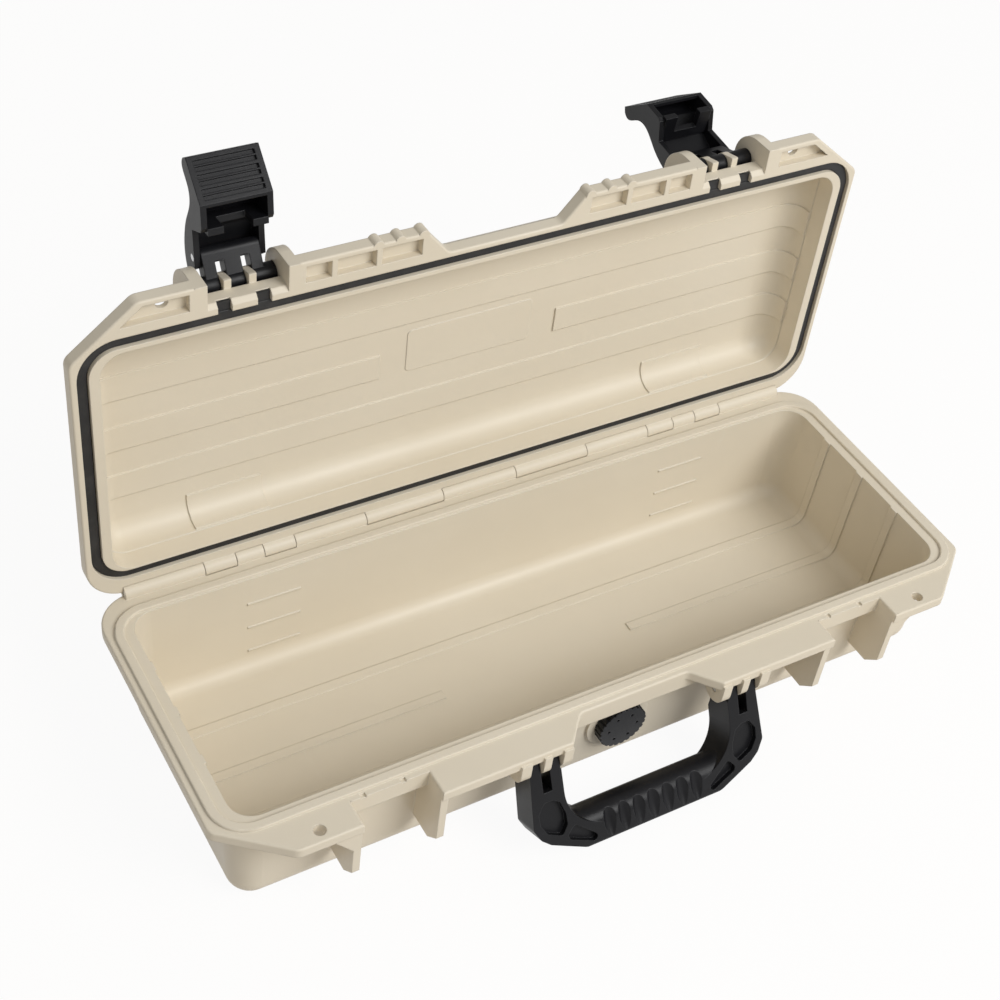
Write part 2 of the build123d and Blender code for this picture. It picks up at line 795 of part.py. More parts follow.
def build_lever(origin):
    """Latch lever, drawn along x from its pin, with its inside towards +y."""
    tip = Vector(*lever_tip)
    run = (Vector(*lever_heel) - tip).normalized()
    inside = Vector(run.Y, -run.X)
    plate_back = tip - inside * finger_plate
    finger_length = (Vector(*lever_heel) - tip).length
    finger_centre = tip + run * (finger_length / 2)
    finger_plane = Plane(
        origin=origin.from_local_coords((finger_centre.X, finger_centre.Y, 0)),
        x_dir=origin.x_dir * run.X + origin.y_dir * run.Y,
        z_dir=origin.x_dir * inside.X + origin.y_dir * inside.Y,
    )
    with BuildPart() as lever:
        with BuildSketch(origin):
            with BuildLine():
                outer = Spline(*lever_profile)
                Polyline(outer @ 1, lever_tip, lever_heel, *lever_jaw, outer @ 0)
            make_face()
        extrude(amount=lever_half_width, both=True)

        # Open inside, between the side walls and under the finger plate
        with BuildSketch(origin):
            with BuildLine():
                skin = [(along, across + lever_skin) for along, across in lever_profile[1:6]]
                Polyline(
                    (lever_profile[0][0] - lever_skin, lever_profile[0][1] + lever_skin),
                    *skin,
                    plate_back + run * finger_root,
                    plate_back + run * finger_length,
                    (lever_heel[0], 2 * lever_heel[1]),
                    (lever_profile[0][0] - lever_skin, 2 * lever_heel[1]),
                    close=True,
                )
            make_face()
        extrude(amount=lever_half_width - lever_side, both=True, mode=Mode.SUBTRACT)

        # Web behind the hook, and the two tabs that catch the base's lip
        with BuildSketch(origin):
            with Locations((hook_from + hook_thickness / 2, hook_web / 2)):
                Rectangle(hook_thickness, hook_web)
        extrude(amount=lever_half_width - lever_side, both=True)
        for edge in (-1, 1):
            with BuildSketch(origin.offset(edge * (lever_half_width - lever_side + hook_split) / 2)):
                with Locations((hook_from + hook_thickness / 2, hook_reach / 2)):
                    Rectangle(hook_thickness, hook_reach)
            extrude(amount=(lever_half_width - lever_side - hook_split) / 2, both=True)

        # Finger plate with wide slots, each split by a fine rib
        with BuildSketch(finger_plane):
            with GridLocations(finger_pitch, finger_pitch, finger_slots, 1):
                Rectangle(finger_slot, 2 * (lever_half_width - lever_side))
                Rectangle(finger_rib, 2 * lever_half_width, mode=Mode.SUBTRACT)
        extrude(amount=-finger_slot_depth, mode=Mode.SUBTRACT)

        with BuildSketch(origin):
            Circle(pin_radius + bore_gap)
        extrude(amount=lever_half_width, both=True, mode=Mode.SUBTRACT)
    return lever


def build_pin(origin, reach):
    """Round pin across a latch, ending at the same reach on both sides."""
    with BuildPart() as pin:
        with BuildSketch(origin):
            Circle(pin_radius)
        extrude(amount=reach, both=True)
    return pin


finished = []
for name, side in (("left", -1), ("right", 1)):
    link_angle, lever_angle = latch_open[name]
    link_plane = hung_plane(side * latch_centre, lid_pin_y, lid_pin_up, link_angle)
    end_y = lid_pin_y - link_length * sin(radians(link_angle))
    end_z = lid_pin_up - link_length * cos(radians(link_angle))
    lever_plane = hung_plane(side * latch_centre, end_y, end_z, lever_angle)
    latch_pieces = {
        "latch_link": build_link(link_plane),
        "latch_lever": build_lever(lever_plane),
        "lid_pin": build_pin(link_plane, outer_ear_inner + outer_ear - bore_gap),
        "lever_pin": build_pin(lever_plane, lever_half_width - bore_gap),
    }
    for piece, built in latch_pieces.items():
        built.part.label = f"{name}_{piece}"
        finished.append(built)


# Handle, drawn on its outer face: x across, y up along the face, pivot at the origin
tilt = radians(handle_tilt)
handle_plane = Plane(
    origin=(0, handle_pivot_y, handle_pivot_z),
    x_dir=(1, 0, 0),
    z_dir=(0, -cos(tilt), sin(tilt)),
)
handle_side_plane = Plane(origin=handle_plane.origin, x_dir=handle_plane.z_dir, z_dir=(1, 0, 0))
handle_half = [
    (prong_outer, prong_radius),
    (prong_outer, -lug_radius - handle_gap),
    *[(across, -down) for across, down in handle_corner],
]
handle_back = handle_face - handle_depth
grip_flush = grip_top + grip_round
turn_across = handle_half_opening - handle_depth / 2 * tan(radians(handle_opening_draft)) - grip_turn
turn_down = grip_top - grip_turn
groove_slope = tilt + radians(groove_tilt)
groove_plane = Plane(
    origin=handle_plane.from_local_coords((0, -groove_down, handle_face - groove_sink + groove_radius)),
    x_dir=(0, sin(groove_slope), cos(groove_slope)),
    z_dir=(1, 0, 0),
)

# Grip bar with its rounded front, turned up at both ends
with BuildPart() as grip_bar:
    with BuildSketch(handle_side_plane) as grip_section:
        with BuildLine():
            Polyline(
                (handle_face, grip_top),
                (handle_face, handle_bottom),
                (handle_back, handle_bottom),
                (handle_back, grip_top),
                close=True,
            )
        make_face()
        fillet(grip_section.vertices().group_by(Axis.Y)[0].sort_by(Axis.X)[-1], grip_round)
        fillet(grip_section.vertices().group_by(Axis.Y)[0].sort_by(Axis.X)[0], grip_back_round)
    extrude(amount=turn_across, both=True)
    for side in (-1, 1):
        with BuildSketch(handle_side_plane.offset(side * turn_across)):
            add(grip_section.sketch_local)
        turn_centre = handle_plane.from_local_coords((side * turn_across, -turn_down, 0))
        revolve(axis=Axis(turn_centre, handle_plane.z_dir * side), revolution_arc=90)

# Space between the prongs and the grip
with BuildPart() as handle_opening:
    with BuildSketch(handle_plane.offset(handle_face)) as opening_outline:
        with Locations((0, (handle_depth - grip_flush) / 2)):
            Rectangle(2 * handle_half_opening, handle_depth + grip_flush)
        fillet(opening_outline.vertices().group_by(Axis.Y)[0], handle_opening_round)
    extrude(amount=-2 * handle_depth, taper=handle_opening_draft)
    with BuildSketch(handle_plane.offset(handle_face)):
        with Locations((0, (handle_depth - lug_radius - handle_gap) / 2)):
            Rectangle(2 * prong_inner, handle_depth + lug_radius + handle_gap)
    extrude(amount=-2 * handle_depth)
    add(grip_bar.part, mode=Mode.SUBTRACT)

# One hollow of the grip, a spindle that fades out at both ends
with BuildPart() as grip_groove:
    with BuildSketch(groove_plane):
        with BuildLine():
            groove_arc = ThreePointArc(
                (-groove_length / 2, groove_radius - groove_waist),
                (0, groove_radius),
                (groove_length / 2, groove_radius - groove_waist),
            )
            Polyline(groove_arc @ 1, (groove_length / 2, 0), (-groove_length / 2, 0), groove_arc @ 0)
        make_face()
    revolve(axis=Axis(groove_plane.origin, groove_plane.x_dir))

with BuildPart() as handle:
    with BuildSketch(handle_plane.offset(handle_face)) as handle_outline:
        with BuildLine():
            Polyline(
                *handle_half, *[(-across, up) for across, up in reversed(handle_half)], close=True
            )
        make_face()
        fillet(
            handle_outline.vertices().filter_by_position(Axis.Y, -handle_bottom - 1, -prong_slot_end),
            handle_corner_round,
        )
    extrude(amount=-handle_depth)
    with BuildSketch(handle_side_plane) as handle_section:
        with BuildLine():
            Polyline(
                (handle_face, 0),
                (handle_face, handle_bottom),
                (handle_back, handle_bottom),
                (handle_back, prong_full),
                (-prong_radius, 0),
                close=True,
            )
        make_face()
        fillet(handle_section.vertices().group_by(Axis.Y)[-1].sort_by(Axis.X)[-1], handle_edge_round)
        fillet(handle_section.vertices().group_by(Axis.Y)[-1].sort_by(Axis.X)[0], handle_back_round)
        Circle(prong_radius)
    extrude(amount=handle_half_width + handle_gap, both=True, mode=Mode.INTERSECT)
    add(handle_opening.part, mode=Mode.SUBTRACT)
    for side in (-1, 1):
        with BuildSketch(handle_plane.offset(handle_face)):
            with Locations((side * (prong_slot_inner + prong_slot_outer) / 2, handle_depth - prong_slot_end)):
                Rectangle(prong_slot_outer - prong_slot_inner, 2 * handle_depth)
        extrude(amount=-handle_depth, mode=Mode.SUBTRACT)
        with BuildSketch(handle_plane.offset(handle_face)) as pocket_outlines:
            for pocket in corner_pockets:
                with BuildLine():
                    Polyline(*[(side * across, -down) for across, down in pocket], close=True)
                make_face()
            fillet(pocket_outlines.vertices(), corner_pocket_round)
        extrude(amount=-corner_pocket_depth, mode=Mode.SUBTRACT)
    first_groove = -(groove_count - 1) / 2 * groove_pitch
    with Locations(*[(first_groove + index * groove_pitch, 0, 0) for index in range(groove_count)]):
        add(grip_groove.part, mode=Mode.SUBTRACT)
    with BuildSketch(handle_side_plane):
        Circle(pin_radius + loose_pin_gap)
    extrude(amount=handle_half_width, both=True, mode=Mode.SUBTRACT)

pin_start = lug_spans[0][0] + handle_gap
pin_end = lug_spans[2][1] - handle_gap
for name, side in (("left", -1), ("right", 1)):
    with BuildPart() as handle_pin:
        with BuildSketch(side_plane(side * pin_start)):
            with Locations((handle_pivot_y, handle_pivot_z)):
                Circle(pin_radius)
        extrude(amount=side * (pin_end - pin_start))
    handle_pin.part.label = f"{name}_handle_pin"
    finished.append(handle_pin)

# Pressure valve, drawn on the boss face: z outwards
valve_plane = Plane(origin=(0, valve_face_y, valve_height), x_dir=(1, 0, 0), z_dir=(0, -1, 0))
valve_spigot_top = valve_flange + valve_spigot
ring_groove_radius = ring_section + ring_gap

with BuildPart() as valve_body:
    with BuildSketch(valve_plane):
        Circle(valve_flange_radius)
    extrude(amount=valve_flange)
    with BuildSketch(valve_plane):
        Circle(valve_spigot_radius)
    extrude(amount=valve_spigot_top)
    with BuildSketch(valve_plane):
        Circle(valve_stem_radius)
    extrude(amount=-valve_stem_length)
    with BuildSketch(valve_plane):
        Circle(ring_centre + ring_groove_radius)
        Circle(ring_centre - ring_groove_radius, mode=Mode.SUBTRACT)
    extrude(amount=2 * ring_section + ring_gap, mode=Mode.SUBTRACT)
    with BuildSketch(valve_plane.offset(-valve_stem_length)):
        Circle(valve_bore)
    extrude(amount=valve_stem_length + valve_spigot_top, mode=Mode.SUBTRACT)

with BuildPart() as valve_knob:
    with BuildSketch(valve_plane.offset(valve_knob_gap)):
        Circle(valve_knob_radius)
        with PolarLocations(valve_knob_radius, valve_notches):
            Circle(valve_notch_radius, mode=Mode.SUBTRACT)
    extrude(amount=valve_knob_height - valve_knob_gap)
    with BuildSketch(valve_plane):
        Circle(valve_flange_radius + valve_knob_gap)
    extrude(amount=valve_flange + valve_knob_gap, mode=Mode.SUBTRACT)
    with BuildSketch(valve_plane):
        Circle(valve_spigot_radius + bore_gap)
    extrude(amount=valve_spigot_top + membrane_thickness + valve_knob_gap, mode=Mode.SUBTRACT)
    with BuildSketch(valve_plane):
        with PolarLocations(valve_vent_circle, valve_vents):
            Circle(valve_vent_radius)
    extrude(amount=valve_knob_height, mode=Mode.SUBTRACT)

with BuildPart() as valve_ring:
    with BuildSketch(Plane(origin=(0, valve_face_y, valve_height), x_dir=(1, 0, 0), z_dir=(0, 0, 1))):
        with Locations((ring_centre, -ring_section)):
            Circle(ring_section)
    revolve(axis=Axis((0, valve_face_y, valve_height), (0, 1, 0)))

nut_drop = nut_flats / 2 / cos(radians(30))
nut_y = -(half_width - drafted(base_height - valve_height + nut_drop))
with BuildPart() as valve_nut:
    with BuildSketch(Plane(origin=(0, nut_y, valve_height), x_dir=(1, 0, 0), z_dir=(0, 1, 0))):
        RegularPolygon(nut_flats / 2, 6, major_radius=False)
        Circle(valve_stem_radius + nut_gap, mode=Mode.SUBTRACT)
    extrude(amount=nut_thickness)

with BuildPart() as valve_membrane:
    with BuildSketch(valve_plane.offset(valve_spigot_top)):
        Circle(membrane_radius)
    extrude(amount=membrane_thickness)

base_shell.part.label = "base_shell"
lid_shell.part.label = "lid_shell"
lid_gasket.part.label = "lid_gasket"
hinge_rod.part.label = "hinge_rod"
handle.part.label = "handle"
valve_body.part.label = "valve_body"
valve_knob.part.label = "valve_knob"
valve_ring.part.label = "valve_ring"
valve_nut.part.label = "valve_nut"
valve_membrane.part.label = "valve_membrane"
finished += [base_shell, lid_shell, lid_gasket, hinge_rod, handle]
finished += [valve_body, valve_knob, valve_ring, valve_nut, valve_membrane]

os.makedirs("parts", exist_ok=True)
for piece in finished:
    export_step(piece.part, f"parts/{piece.part.label}.step")
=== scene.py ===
"""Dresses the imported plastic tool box: finishes, studio and camera."""

from __future__ import annotations

import logging
import math
from dataclasses import dataclass
from enum import Enum
from typing import Any

import bmesh
import bpy
from mathutils import Euler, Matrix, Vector

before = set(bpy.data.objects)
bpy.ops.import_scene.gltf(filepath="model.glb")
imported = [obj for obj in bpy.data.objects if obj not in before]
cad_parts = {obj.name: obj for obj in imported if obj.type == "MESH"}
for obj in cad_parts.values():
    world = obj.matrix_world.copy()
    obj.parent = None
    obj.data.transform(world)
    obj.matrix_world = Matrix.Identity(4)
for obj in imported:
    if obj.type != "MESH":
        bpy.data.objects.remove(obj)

log = logging.getLogger("tool_box")

Colour = tuple[float, float, float]
Point = tuple[float, float, float]


class Wire:
    """A number travelling through a material's nodes, with plain arithmetic."""

    def __init__(self, bench: Bench, socket: bpy.types.NodeSocket) -> None:
        """Args:
        bench: the material that the socket belongs to.
        socket: an output socket.
        """
        self.bench = bench
        self.socket = socket

    def _calc(self, operation: str, first: Wire | float, second: Wire | float) -> Wire:
        """Adds one Math node and returns its result.

        Args:
            operation: the Math node's operation.
            first: the left-hand value.
            second: the right-hand value.

        Returns:
            The node's output as a wire.
        """
        made = self.bench.node("ShaderNodeMath", {"operation": operation}, {0: first, 1: second})
        return Wire(self.bench, made.outputs[0])

    def __add__(self, other: Wire | float) -> Wire:
        """Returns self plus other."""
        return self._calc("ADD", self, other)

    def __radd__(self, other: float) -> Wire:
        """Returns other plus self."""
        return self._calc("ADD", other, self)

    def __sub__(self, other: Wire | float) -> Wire:
        """Returns self minus other."""
        return self._calc("SUBTRACT", self, other)

    def __rsub__(self, other: float) -> Wire:
        """Returns other minus self."""
        return self._calc("SUBTRACT", other, self)

    def __mul__(self, other: Wire | float) -> Wire:
        """Returns self times other."""
        return self._calc("MULTIPLY", self, other)

    def __rmul__(self, other: float) -> Wire:
        """Returns other times self."""
        return self._calc("MULTIPLY", other, self)

    def limited(self) -> Wire:
        """Returns self held between 0 and 1."""
        made = self.bench.node("ShaderNodeClamp", {}, {"Value": self})
        return Wire(self.bench, made.outputs[0])

    def spread(self, low: float, high: float) -> Wire:
        """Stretches a range of self softly onto 0 to 1.

        Args:
            low: the value that becomes 0.
            high: the value that becomes 1.

        Returns:
            The stretched value, held between 0 and 1.
        """
        made = self.bench.node(
            "ShaderNodeMapRange",
            {"clamp": True, "interpolation_type": "SMOOTHSTEP"},
            {"Value": self, "From Min": low, "From Max": high},
        )
        return Wire(self.bench, made.outputs[0])


class Bench:
    """One material's node tree, and the few kinds of node that the finishes share."""

    def __init__(self, name: str) -> None:
        """Args:
        name: the new material's name.
        """
        self.material = bpy.data.materials.new(name)
        self.material.use_nodes = True
        self.tree = self.material.node_tree
        self.tree.nodes.clear()
        self.output = self.node("ShaderNodeOutputMaterial")
        self.place = Wire(self, self.node("ShaderNodeTexCoord").outputs["Object"])

    def node(
        self,
        kind: str,
        settings: dict[str, Any] | None = None,
        inputs: dict[str | int, Any] | None = None,
    ) -> bpy.types.Node:
        """Adds any node.

        Args:
            kind: the node's type.
            settings: the node's own properties.
            inputs: socket name or number to a value, a wire or an output socket.

        Returns:
            The new node.
        """
        made = self.tree.nodes.new(kind)
        for name, value in (settings or {}).items():
            setattr(made, name, value)
        for name, value in (inputs or {}).items():
            source = value.socket if isinstance(value, Wire) else value
            if isinstance(source, bpy.types.NodeSocket):
                self.tree.links.new(source, made.inputs[name])
            else:
                made.inputs[name].default_value = source
        return made

    def stretched(self, scale: Point) -> Wire:
        """Returns the object's coordinates, scaled along each axis."""
        made = self.node("ShaderNodeMapping", {}, {"Vector": self.place, "Scale": scale})
        return Wire(self, made.outputs[0])

    def blend(self, share: Wire | float, first: Any, second: Any) -> Wire:
        """Mixes two colours.

        Args:
            share: 0 for the first, 1 for the second.
            first: a colour or a wire of one.
            second: a colour or a wire of one.

        Returns:
            The mixed colour.
        """
        made = self.node("ShaderNodeMix", {"data_type": "RGBA"}, {0: share})
        for slot, value in ((6, first), (7, second)):
            if isinstance(value, Wire):
                self.tree.links.new(value.socket, made.inputs[slot])
            else:
                made.inputs[slot].default_value = (*value, 1.0)
        return Wire(self, made.outputs[2])

    def soft_edges(self, radius: float, faint: float = 0.004, full: float = 0.22) -> tuple[Wire, Wire]:
        """Rounds the look of sharp edges.

        Args:
            radius: the rounding's radius in metres.
            faint: the bend at which the mask starts.
            full: the bend at which the mask is 1.

        Returns:
            The rounded normal, and a mask that is 1 along the edges.
        """
        rounded = self.node("ShaderNodeBevel", {"samples": 6}, {"Radius": radius})
        flat = self.node("ShaderNodeNewGeometry")
        likeness = self.node(
            "ShaderNodeVectorMath",
            {"operation": "DOT_PRODUCT"},
            {0: rounded.outputs[0], 1: flat.outputs["Normal"]},
        )
        bend = 1.0 - Wire(self, likeness.outputs["Value"])
        return Wire(self, rounded.outputs[0]), bend.spread(faint, full)

    def bump(self, height: Wire, depth: float, normal: Wire | None = None) -> Wire:
        """Adds a bump.

        Args:
            height: the height pattern.
            depth: how deep the pattern is, in metres.
            normal: the normal under it, or None for the surface's own.

        Returns:
            The bumped normal.
        """
        inputs: dict[str | int, Any] = {"Height": height, "Distance": depth, "Strength": 1.0}
        if normal is not None:
            inputs["Normal"] = normal
        return Wire(self, self.node("ShaderNodeBump", {}, inputs).outputs[0])

    def finish(self, **sockets: Any) -> bpy.types.Material:
        """Ends the tree in one shader.

        Args:
            **sockets: the shader's sockets, with _ for a space.

        Returns:
            The material.
        """
        inputs = {name.replace("_", " "): value for name, value in sockets.items()}
        shader = self.node("ShaderNodeBsdfPrincipled", {}, inputs)
        self.tree.links.new(shader.outputs[0], self.output.inputs["Surface"])
        return self.material


@dataclass(frozen=True)
class Pattern:
    """Noise over a surface: patches to a metre, finer layers and their strength, range and stretch."""

    scale: float
    detail: float = 2.0
    rough: float = 0.5
    limits: tuple[float, float] | None = None
    stretch: Point | None = None

    def draw(self, bench: Bench) -> Wire:
        """Adds the noise to a material.

        Args:
            bench: the material.

        Returns:
            The plain noise, around 0.5, or its limits stretched onto 0 to 1.
        """
        made = bench.node(
            "ShaderNodeTexNoise",
            {},
            {
                "Vector": bench.stretched(self.stretch) if self.stretch else bench.place,
                "Scale": self.scale,
                "Detail": self.detail,
                "Roughness": self.rough,
            },
        )
        noise = Wire(bench, made.outputs["Fac"])
        return noise.spread(*self.limits) if self.limits else noise


@dataclass(frozen=True)
class MouldedShell:
    """Sand-coloured moulded plastic with a fine grain, flow marks, scuffs, and edges lightened as a painted
    highlight.
    """

    name: str = "shell_plastic"
    body: Colour = (0.775, 0.706, 0.578)
    deep: Colour = (0.735, 0.662, 0.530)
    # Pale colour shared by the real scuffs and by the painted highlight along edges.
    rubbed_and_highlight: Colour = (0.850, 0.805, 0.705)
    edge_radius: float = 0.0009
    clouds: Pattern = Pattern(7.0, 4.0, 0.55, (0.32, 0.68))
    streaks: Pattern = Pattern(16.0, 3.0, 0.6, (0.35, 0.70), (0.25, 1.0, 1.0))
    scuffs: Pattern = Pattern(60.0, 6.0, 0.72, (0.60, 0.72), (1.0, 0.28, 0.6))
    specks: Pattern = Pattern(900.0, 1.0, 0.5, (0.66, 0.74))
    sink: Pattern = Pattern(11.0, 2.0, 0.4)
    grain: Pattern = Pattern(2300.0, 2.0, 0.6)
    cloud_share: float = 0.55
    streak_share: float = 0.35
    # How strongly edges are lightened, a painted highlight.
    edge_highlight: float = 0.45
    scuff_rub: float = 0.12
    speck_share: float = 0.10
    rough: float = 0.40
    cloud_rough: float = 0.07
    scuff_rough: float = 0.10
    edge_polish: float = 0.06
    sink_depth: float = 0.0009
    grain_depth: float = 0.000022
    ior: float = 1.48
    specular: float = 0.42

    def material(self) -> bpy.types.Material:
        """Returns the finished material."""
        bench = Bench(self.name)
        normal, edges = bench.soft_edges(self.edge_radius)
        clouds = self.clouds.draw(bench)
        scuffs = self.scuffs.draw(bench)
        flow = clouds * self.cloud_share + self.streaks.draw(bench) * self.streak_share
        # Painted highlight along every edge, plus real scuffs, both lightening the colour.
        scuffs_and_highlight = (edges * self.edge_highlight + scuffs * self.scuff_rub).limited()
        colour = bench.blend(flow, self.body, self.deep)
        colour = bench.blend(scuffs_and_highlight, colour, self.rubbed_and_highlight)
        colour = bench.blend(self.specks.draw(bench) * self.speck_share, colour, self.deep)
        rough = self.rough + clouds * self.cloud_rough + scuffs * self.scuff_rough - edges * self.edge_polish
        normal = bench.bump(self.sink.draw(bench), self.sink_depth, normal)
        normal = bench.bump(self.grain.draw(bench), self.grain_depth, normal)
        return bench.finish(
            Base_Color=colour, Roughness=rough, Normal=normal, IOR=self.ior, Specular_IOR_Level=self.specular
        )


@dataclass(frozen=True)
class BlackNylon:
    """Black moulded nylon: satin, finely grained, greyer where hands wear it."""

    name: str = "black_plastic"
    body: Colour = (0.0068, 0.0069, 0.0084)
    worn: Colour = (0.038, 0.039, 0.044)
    edge_radius: float = 0.0007
    clouds: Pattern = Pattern(26.0, 3.0, 0.55, (0.33, 0.67))
    scuffs: Pattern = Pattern(110.0, 6.0, 0.7, (0.58, 0.74), (0.35, 1.0, 1.0))
    grain: Pattern = Pattern(1900.0, 2.0, 0.6)
    edge_wear: float = 0.40
    scuff_wear: float = 0.16
    cloud_wear: float = 0.10
    rough: float = 0.34
    cloud_rough: float = 0.09
    scuff_rough: float = 0.08
    edge_polish: float = 0.05
    grain_depth: float = 0.000030
    ior: float = 1.5
    specular: float = 0.26

    def material(self) -> bpy.types.Material:
        """Returns the finished material."""
        bench = Bench(self.name)
        normal, edges = bench.soft_edges(self.edge_radius)
        clouds = self.clouds.draw(bench)
        scuffs = self.scuffs.draw(bench)
        wear = (edges * self.edge_wear + scuffs * self.scuff_wear + clouds * self.cloud_wear).limited()
        colour = bench.blend(wear, self.body, self.worn)
        rough = self.rough + clouds * self.cloud_rough + scuffs * self.scuff_rough - edges * self.edge_polish
        normal = bench.bump(self.grain.draw(bench), self.grain_depth, normal)
        return bench.finish(
            Base_Color=colour, Roughness=rough, Normal=normal, IOR=self.ior, Specular_IOR_Level=self.specular
        )


@dataclass(frozen=True)
class SealRubber:
    """Soft black sealing rubber with a dusty bloom."""

    name: str = "seal_rubber"
    body: Colour = (0.016, 0.016, 0.017)
    bloom: Colour = (0.050, 0.049, 0.048)
    dust: Pattern = Pattern(75.0, 5.0, 0.65, (0.40, 0.72))
    grain: Pattern = Pattern(1500.0)
    dust_share: float = 0.6
    rough: float = 0.52
    dust_rough: float = 0.16
    grain_depth: float = 0.00003

    def material(self) -> bpy.types.Material:
        """Returns the finished material."""
        bench = Bench(self.name)
        dust = self.dust.draw(bench)
        colour = bench.blend(dust * self.dust_share, self.body, self.bloom)
        rough = self.rough + dust * self.dust_rough
        normal = bench.bump(self.grain.draw(bench), self.grain_depth)
        return bench.finish(Base_Color=colour, Roughness=rough, Normal=normal)


@dataclass(frozen=True)
class DrawnSteel:
    """Drawn steel wire for the pins and the hinge rod."""

    name: str = "pin_steel"
    bright: Colour = (0.56, 0.56, 0.57)
    dull: Colour = (0.36, 0.355, 0.35)
    lines: Pattern = Pattern(900.0, 3.0, 0.6, None, (0.02, 1.0, 1.0))
    tarnish: Pattern = Pattern(130.0, 4.0, 0.6, (0.42, 0.70))
    tarnish_share: float = 0.6
    rough: float = 0.26
    tarnish_rough: float = 0.2
    line_depth: float = 0.00004

    def material(self) -> bpy.types.Material:
        """Returns the finished material."""
        bench = Bench(self.name)
        tarnish = self.tarnish.draw(bench)
        colour = bench.blend(tarnish * self.tarnish_share, self.bright, self.dull)
        rough = self.rough + tarnish * self.tarnish_rough
        normal = bench.bump(self.lines.draw(bench), self.line_depth)
        return bench.finish(Base_Color=colour, Metallic=1.0, Roughness=rough, Normal=normal)


@dataclass(frozen=True)
class BreathingFelt:
    """The white membrane that lets air through the valve."""

    name: str = "membrane"
    light: Colour = (0.86, 0.86, 0.85)
    shade: Colour = (0.66, 0.66, 0.65)
    fibres: Pattern = Pattern(2600.0, 4.0, 0.7, None, (1.0, 1.0, 0.4))
    fibre_limits: tuple[float, float] = (0.35, 0.65)
    rough: float = 0.85
    fibre_depth: float = 0.00006

    def material(self) -> bpy.types.Material:
        """Returns the finished material."""
        bench = Bench(self.name)
        fibres = self.fibres.draw(bench)
        colour = bench.blend(fibres.spread(*self.fibre_limits), self.light, self.shade)
        normal = bench.bump(fibres, self.fibre_depth)
        return bench.finish(Base_Color=colour, Roughness=self.rough, Normal=normal)


class Finish(Enum):
    """Every finish on the tool box."""

    SHELL = MouldedShell()
    BLACK = BlackNylon()
    RUBBER = SealRubber()
    STEEL = DrawnSteel()
    FELT = BreathingFelt()


class Dresser:
    """Makes each finish once and puts it on pieces."""

    def __init__(self) -> None:
        """Starts with nothing made."""
        self.made: dict[Finish, bpy.types.Material] = {}

    def dress(self, piece: bpy.types.Object, finish: Finish) -> None:
        """Gives a piece its finish.

        Args:
            piece: a CAD node or a new piece.
            finish: which finish it gets.
        """
        if finish not in self.made:
            self.made[finish] = finish.value.material()
        piece.data.materials.clear()
        piece.data.materials.append(self.made[finish])

    def dress_nodes(self, names: dict[str, Finish]) -> None:
        """Gives CAD nodes their finishes.

        Args:
            names: node name to finish.
        """
        for name, finish in names.items():
            self.dress(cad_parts[name], finish)
            log.info("%s: %s", name, finish.value.name)


@dataclass
class BaseTub:
    """The lower shell and what is fixed to it."""

    shell: Finish = Finish.SHELL
    metal: Finish = Finish.STEEL

    def build(self, dresser: Dresser) -> None:
        """Dresses the base's nodes."""
        dresser.dress_nodes({
            "base_shell": self.shell,
            "hinge_rod": self.metal,
            "left_handle_pin": self.metal,
            "right_handle_pin": self.metal,
        })


@dataclass
class Lid:
    """The upper shell with its seal and the latches' pins."""

    shell: Finish = Finish.SHELL
    seal: Finish = Finish.RUBBER
    metal: Finish = Finish.STEEL

    def build(self, dresser: Dresser) -> None:
        """Dresses the lid's nodes."""
        dresser.dress_nodes({
            "lid_shell": self.shell,
            "lid_gasket": self.seal,
            "left_lid_pin": self.metal,
            "right_lid_pin": self.metal,
        })


class Side(Enum):
    """The two ends of the case."""

    LEFT = "left"
    RIGHT = "right"


@dataclass
class Latch:
    """One over-centre latch."""

    side: Side
    plastic: Finish = Finish.BLACK
    metal: Finish = Finish.STEEL

    def build(self, dresser: Dresser) -> None:
        """Dresses the latch's nodes."""
        dresser.dress_nodes({
            f"{self.side.value}_latch_link": self.plastic,
            f"{self.side.value}_latch_lever": self.plastic,
            f"{self.side.value}_lever_pin": self.metal,
        })


@dataclass
class CarryHandle:
    """The folding handle on the front."""

    plastic: Finish = Finish.BLACK

    def build(self, dresser: Dresser) -> None:
        """Dresses the handle."""
        dresser.dress_nodes({"handle": self.plastic})


@dataclass
class PressureValve:
    """The valve in the middle of the front wall."""

    plastic: Finish = Finish.BLACK
    ring: Finish = Finish.RUBBER
    filter: Finish = Finish.FELT

    def build(self, dresser: Dresser) -> None:
        """Dresses the valve's nodes."""
        dresser.dress_nodes({
            "valve_body": self.plastic,
            "valve_knob": self.plastic,
            "valve_nut": self.plastic,
            "valve_ring": self.ring,
            "valve_membrane": self.filter,
        })


@dataclass(frozen=True)
class Lamp:
    """One soft square lamp that faces the case."""

    name: str
    place: Point
    size: float
    watts: float
    aim: Point = (0.0, 0.0, 0.1)

    def build(self) -> None:
        """Adds the lamp to the scene."""
        light = bpy.data.lights.new(self.name, "AREA")
        light.size = self.size
        light.energy = self.watts
        lamp = bpy.data.objects.new(self.name, light)
        lamp.location = self.place
        lamp.rotation_euler = (Vector(self.aim) - Vector(self.place)).to_track_quat("-Z", "Y").to_euler()
        bpy.context.scene.collection.objects.link(lamp)


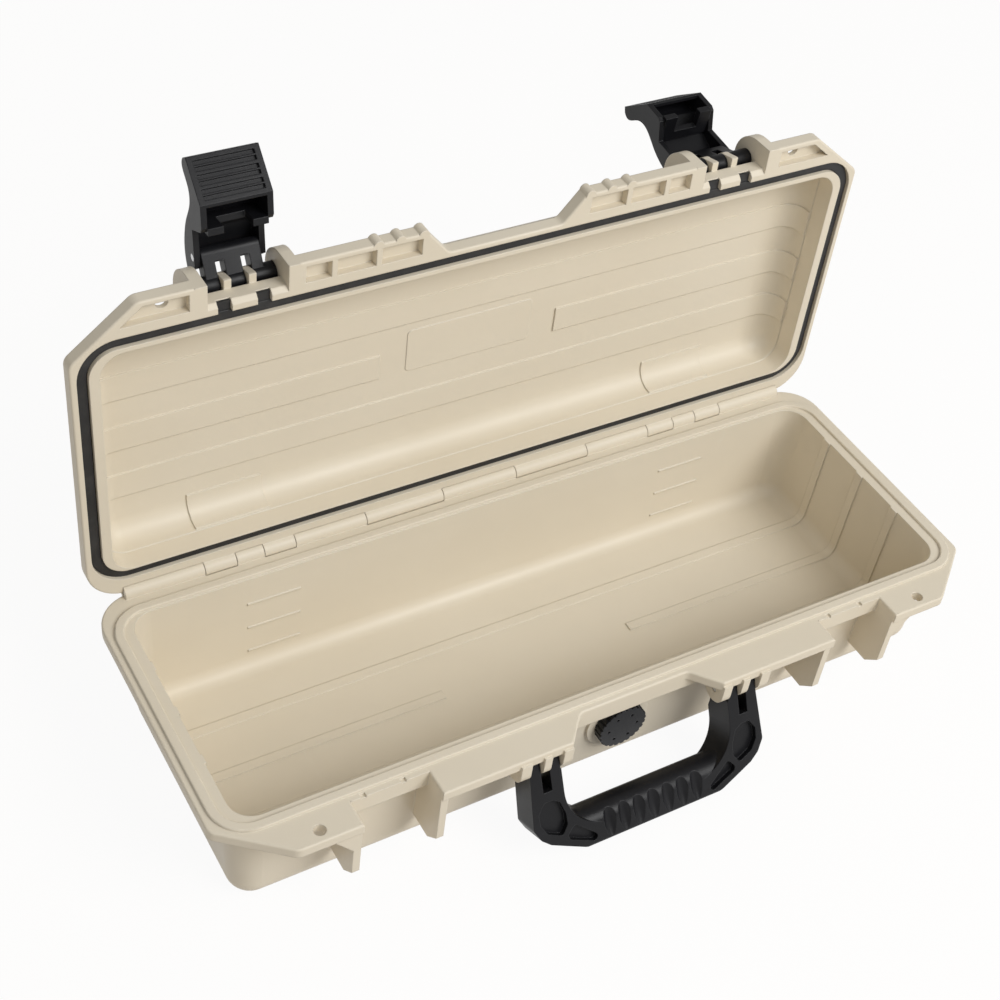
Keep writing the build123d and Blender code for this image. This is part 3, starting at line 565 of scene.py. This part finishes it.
@dataclass
class Studio:
    """Pale floor, soft lamps and the camera."""

    lamps: tuple[Lamp, ...] = (
        Lamp("key", (0.8, -1.5, 1.6), 1.3, 36.0),
        Lamp("fill", (-1.3, -1.2, 1.1), 1.6, 1.0),
    )
    floor_half: float = 6.0
    floor_drop: float = 0.0004
    paper: Colour = (0.62, 0.57, 0.50)
    glow: Colour = (1.0, 1.0, 1.0)
    glow_strength: float = 1.04
    glow_share: float = 0.90
    sky: Colour = (1.0, 0.985, 0.96)
    sky_strength: float = 0.38
    eye: Point = (-0.44612, -0.56219, 0.81577)
    turn: Point = (46.27, -6.02, -29.602)
    lens: float = 62.93
    sensor: float = 36.0
    near: float = 0.01

    def build(self) -> None:
        """Builds the floor, the world, the lamps and the camera."""
        self.floor()
        self.world()
        for lamp in self.lamps:
            lamp.build()
        self.camera()

    def floor(self) -> None:
        """Builds the floor, which shows white to the eye and keeps a soft shadow."""
        form = bmesh.new()
        bmesh.ops.create_grid(form, x_segments=1, y_segments=1, size=self.floor_half)
        bmesh.ops.translate(form, verts=form.verts, vec=(0.0, 0.0, -self.floor_drop))
        mesh = bpy.data.meshes.new("floor")
        form.to_mesh(mesh)
        form.free()
        mesh.materials.append(self.floor_material())
        floor = bpy.data.objects.new("floor", mesh)
        bpy.context.scene.collection.objects.link(floor)

    def floor_material(self) -> bpy.types.Material:
        """Returns matt paper that glows white where the camera or a reflection sees it."""
        bench = Bench("floor_paper")
        paths = bench.node("ShaderNodeLightPath")
        camera = Wire(bench, paths.outputs["Is Camera Ray"])
        mirror = Wire(bench, paths.outputs["Is Glossy Ray"])
        share = (camera + mirror).limited() * self.glow_share
        paper = bench.node("ShaderNodeBsdfDiffuse", {}, {"Color": (*self.paper, 1.0)})
        glow = bench.node(
            "ShaderNodeEmission", {}, {"Color": (*self.glow, 1.0), "Strength": self.glow_strength}
        )
        both = bench.node("ShaderNodeMixShader", {}, {0: share, 1: paper.outputs[0], 2: glow.outputs[0]})
        bench.tree.links.new(both.outputs[0], bench.output.inputs["Surface"])
        return bench.material

    def world(self) -> None:
        """Builds the even light from all round."""
        world = bpy.data.worlds.new("studio")
        world.use_nodes = True
        back = world.node_tree.nodes["Background"]
        back.inputs["Color"].default_value = (*self.sky, 1.0)
        back.inputs["Strength"].default_value = self.sky_strength
        bpy.context.scene.world = world

    def camera(self) -> None:
        """Adds the camera at the photograph's angle."""
        data = bpy.data.cameras.new("camera")
        data.sensor_width = self.sensor
        data.lens = self.lens
        data.clip_start = self.near
        camera = bpy.data.objects.new("camera", data)
        camera.location = self.eye
        camera.rotation_euler = Euler(tuple(math.radians(a) for a in self.turn), "XYZ")
        bpy.context.scene.collection.objects.link(camera)
        bpy.context.scene.camera = camera
        bpy.context.scene.view_settings.view_transform = "Standard"


def main() -> None:
    """Builds every sub-assembly in order."""
    logging.basicConfig(level=logging.INFO, format="%(message)s")
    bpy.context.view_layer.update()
    dresser = Dresser()
    Studio().build()
    BaseTub().build(dresser)
    Lid().build(dresser)
    for side in Side:
        Latch(side).build(dresser)
    CarryHandle().build(dresser)
    PressureValve().build(dresser)


if __name__ == "__main__":
    main()
